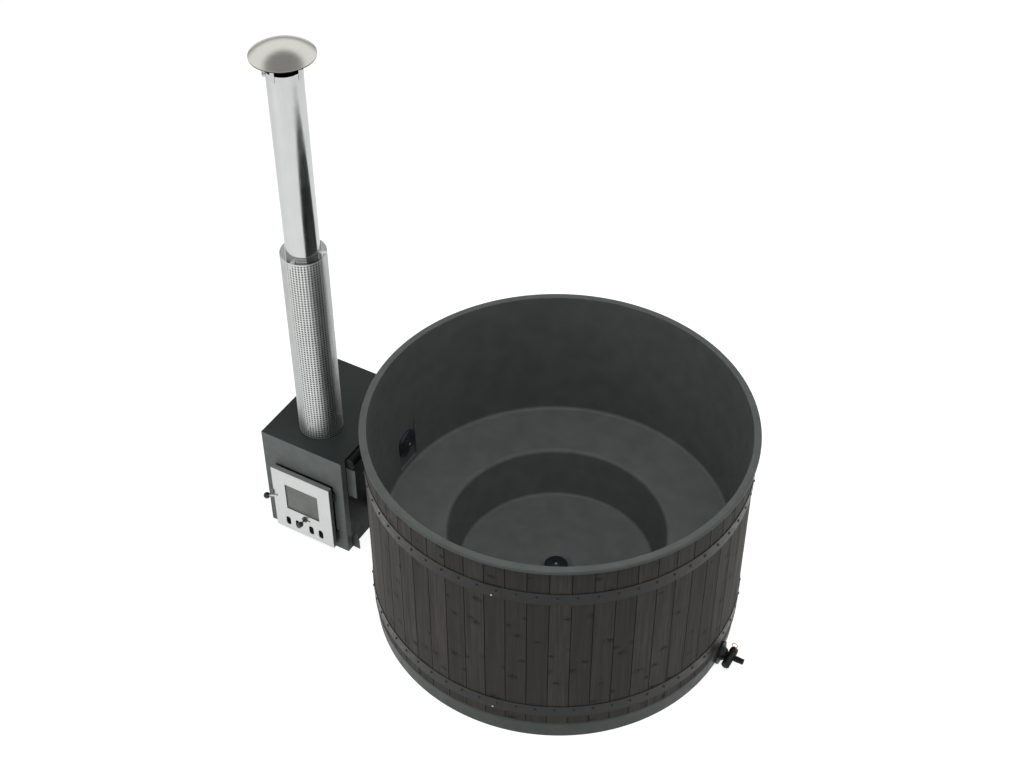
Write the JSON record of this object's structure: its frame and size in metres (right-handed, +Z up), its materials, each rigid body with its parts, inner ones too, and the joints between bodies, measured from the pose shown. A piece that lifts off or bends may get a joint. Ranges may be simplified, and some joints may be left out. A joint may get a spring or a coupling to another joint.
{
  "type": "wood-fired hot tub",
  "caption": "Round wooden hot tub with a moulded grey liner, bench and footwell, steel hoops, and an outside wood stove with a shielded chimney.",
  "frame": {"origin": "on the tub's axis, on the floor that it stands on", "axes": "+Z up; the stove stands at -X with its door facing -Y; the drain valve is at +X"},
  "size_m": [2.339, 1.6858, 2.585],
  "materials": {
    "liner_plastic": "satin moulded, dark grey with a green cast",
    "pan_plastic": "matt moulded grey",
    "stained_wood": "dark grey-brown stain with the grain and knots showing",
    "hoop_steel": "satin grey strip",
    "black_screws": "black domed heads",
    "bright_metal": "bright plated",
    "black_plastic": "fine matt moulded black",
    "pipe_plastic": "matt grey pipe",
    "copper_metal": "dull copper colour",
    "black_rubber": "matt black",
    "stove_paint": "matt grey heat-proof paint",
    "stove_paint_dark": "matt dark grey heat-proof paint",
    "raw_steel": "bare mill finish",
    "iron": "sooty casting",
    "bracket_steel": "grey coated plate",
    "stainless": "finely brushed bright",
    "window_glass": "smoked heat-proof glass",
    "gasket_rope": "woven glass rope",
    "knob_plastic": "glossy black",
    "polished_flue": "polished stainless sheet",
    "cap_steel": "spun stainless with circular marks"
  },
  "bodies": {
    "tub_and_stove": {"tub_liner": "liner_plastic", "base_pan": "pan_plastic", "staves_front": "stained_wood", "staves_right": "stained_wood", "staves_back": "stained_wood", "staves_left": "stained_wood", "staves_drilled": "stained_wood", "upper_hoop": "hoop_steel", "lower_hoop": "hoop_steel", "upper_hoop_screws": "black_screws", "lower_hoop_screws": "black_screws", "hoop_rivets": "bright_metal", "return_fitting": "black_plastic", "return_grille": "black_plastic", "return_screw": "bright_metal", "return_nut": "black_plastic", "drain_body": "black_plastic", "drain_strainer": "black_plastic", "drain_screw": "bright_metal", "drain_tee": "pipe_plastic", "drain_pipe": "pipe_plastic", "valve_flange": "black_plastic", "valve_body": "black_plastic", "valve_plug": "black_plastic", "cold_pipe": "pipe_plastic", "cold_stub": "black_rubber", "hot_header": "stove_paint_dark", "header_plug": "stove_paint_dark", "hot_hose": "black_rubber", "hose_clamps": "stainless", "stove_front": "stove_paint", "stove_casing": "stove_paint_dark", "stove_floor": "stove_paint_dark", "water_jacket": "raw_steel", "fire_grate": "iron", "side_bracket": "bracket_steel", "foot_bracket": "bracket_steel", "bracket_bolts": "black_screws", "door_hinges": "stove_paint_dark", "latch_catch": "stove_paint_dark", "flue_collar": "stove_paint_dark", "flue_pipe": "polished_flue", "heat_shield": "stainless", "shield_spacers": "stainless", "cap_band": "polished_flue", "cap_bolt": "bright_metal", "cap_legs": "stainless", "rain_cap": "cap_steel"},
    "stove_door": {"door_frame": "stove_paint", "door_plate": "stainless", "door_glass": "window_glass", "glass_retainer": "stove_paint_dark", "door_gasket": "gasket_rope", "door_knuckles": "stove_paint_dark"},
    "air_damper": {"damper_slide": "raw_steel", "damper_knob": "knob_plastic"},
    "door_latch": {"latch_lever": "stainless", "latch_knob": "knob_plastic"},
    "valve_handle": {"valve_spindle": "copper_metal", "valve_ring": "copper_metal"}
  },
  "joints": [
    {"name": "door_hinge", "type": "hinge", "parent": "tub_and_stove", "child": "stove_door", "pos_m": [-1.008, -0.29, 0.22], "axis": [0, 0, 1], "range_deg": [0, 110]},
    {"name": "damper_travel", "type": "slide", "parent": "stove_door", "child": "air_damper", "axis": [1, 0, 0], "range_m": [0, 0.027]},
    {"name": "latch_turn", "type": "hinge", "parent": "stove_door", "child": "door_latch", "pos_m": [-1.324, -0.325, 0.23], "axis": [0, -1, 0], "range_deg": [0, 30]},
    {"name": "valve_turn", "type": "hinge", "parent": "tub_and_stove", "child": "valve_handle", "pos_m": [0.879, 0.041, 0.054], "axis": [0, 1, 0], "range_deg": [0, 90]}
  ]
}
